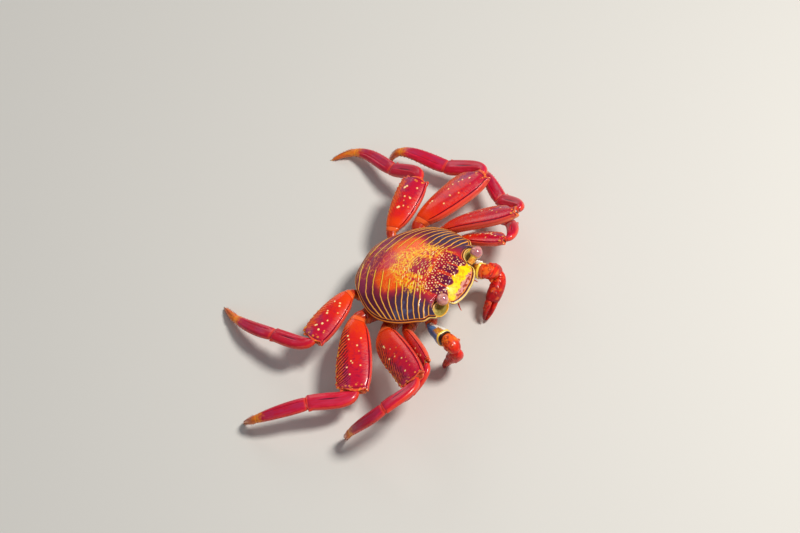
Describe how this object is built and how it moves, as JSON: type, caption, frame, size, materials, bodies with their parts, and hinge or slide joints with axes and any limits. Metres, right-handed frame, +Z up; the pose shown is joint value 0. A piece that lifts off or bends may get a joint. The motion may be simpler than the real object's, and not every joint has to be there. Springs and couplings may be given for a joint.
{
  "type": "red rock crab",
  "caption": "Life-size still model of a red rock crab: domed shell, broad flat walking legs and a pair of short claws, standing on its feet.",
  "frame": {"origin": "middle of the underside of the bounding box, on the floor under the crab", "axes": "the crab faces -Y, its left side is at +X and +Z is up"},
  "size_m": [0.2032, 0.1562, 0.039],
  "materials": {
    "carapace": "glossy shell, purple and maroon with thin yellow ridge lines, yellow front",
    "underside": "pale satin shell",
    "abdomen": "pale satin shell plates",
    "eye": "glossy pale rose",
    "antenna": "satin orange brown",
    "maxilliped": "satin pale orange",
    "leg_base": "satin orange red",
    "leg_merus": "glossy orange red to crimson with cream dots",
    "leg_shaft": "glossy crimson with purple grooves",
    "leg_tip": "orange to pale horn, spiny",
    "claw_arm": "white and steel blue to gold brown, yellow rim",
    "claw_hand": "glossy orange red, knobbly",
    "claw_finger": "glossy deep red, pale tips"
  },
  "bodies": {
    "root": {"carapace": "carapace", "underside": "underside", "abdomen": "abdomen", "eye_l": "eye", "antenna_l": "antenna", "maxilliped_l": "maxilliped", "leg_l1_ischium": "leg_base", "leg_l1_merus": "leg_merus", "leg_l1_carpus": "leg_shaft", "leg_l1_propodus": "leg_shaft", "leg_l1_dactyl": "leg_tip", "leg_l2_ischium": "leg_base", "leg_l2_merus": "leg_merus", "leg_l2_carpus": "leg_shaft", "leg_l2_propodus": "leg_shaft", "leg_l2_dactyl": "leg_tip", "leg_l3_ischium": "leg_base", "leg_l3_merus": "leg_merus", "leg_l3_carpus": "leg_shaft", "leg_l3_propodus": "leg_shaft", "leg_l3_dactyl": "leg_tip", "leg_l4_ischium": "leg_base", "leg_l4_merus": "leg_merus", "leg_l4_carpus": "leg_shaft", "leg_l4_propodus": "leg_shaft", "leg_l4_dactyl": "leg_tip", "claw_l_ischium": "leg_base", "claw_l_merus": "claw_arm", "claw_l_carpus": "claw_hand", "claw_l_palm": "claw_hand", "claw_l_finger": "claw_finger", "eye_r": "eye", "antenna_r": "antenna", "maxilliped_r": "maxilliped", "leg_r1_ischium": "leg_base", "leg_r1_merus": "leg_merus", "leg_r1_carpus": "leg_shaft", "leg_r1_propodus": "leg_shaft", "leg_r1_dactyl": "leg_tip", "leg_r2_ischium": "leg_base", "leg_r2_merus": "leg_merus", "leg_r2_carpus": "leg_shaft", "leg_r2_propodus": "leg_shaft", "leg_r2_dactyl": "leg_tip", "leg_r3_ischium": "leg_base", "leg_r3_merus": "leg_merus", "leg_r3_carpus": "leg_shaft", "leg_r3_propodus": "leg_shaft", "leg_r3_dactyl": "leg_tip", "leg_r4_ischium": "leg_base", "leg_r4_merus": "leg_merus", "leg_r4_carpus": "leg_shaft", "leg_r4_propodus": "leg_shaft", "leg_r4_dactyl": "leg_tip", "claw_r_ischium": "leg_base", "claw_r_merus": "claw_arm", "claw_r_carpus": "claw_hand", "claw_r_palm": "claw_hand", "claw_r_finger": "claw_finger"}
  },
  "joints": []
}
